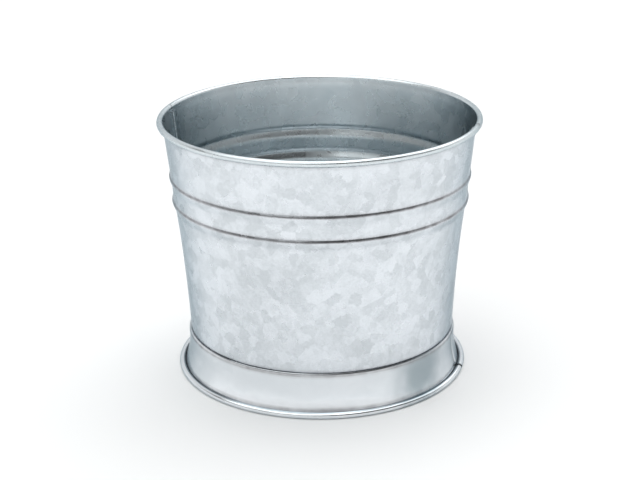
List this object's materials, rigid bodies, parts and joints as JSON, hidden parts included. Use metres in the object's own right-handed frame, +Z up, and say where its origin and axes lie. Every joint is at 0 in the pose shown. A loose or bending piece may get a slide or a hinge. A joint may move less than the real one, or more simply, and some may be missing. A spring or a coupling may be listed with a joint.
{
  "type": "florist bucket",
  "caption": "Tapered round galvanised sheet-steel flower bucket with a wired rim, pressed rings and a flared foot skirt under a seamed-in base.",
  "frame": {"origin": "centre of the ring that the foot stands on, at floor level", "axes": "+Z up along the bucket's axis, towards the open rim; the two side seams lie on +X and -X"},
  "size_m": [0.24, 0.24, 0.1955],
  "materials": {
    "spangled_zinc": "galvanised sheet with a soft grey-blue spangle",
    "smooth_zinc": "galvanised sheet, smoother and brighter, spangle hardly visible",
    "wire_zinc": "drawn galvanised wire",
    "sealant": "matt grey seam sealant"
  },
  "bodies": {
    "root": {"wall_sheet_front": "spangled_zinc", "wall_sheet_back": "spangled_zinc", "rim_wire": "wire_zinc", "base_disc": "spangled_zinc", "base_sealant": "sealant", "foot_skirt": "smooth_zinc", "foot_wire": "wire_zinc"}
  },
  "joints": []
}
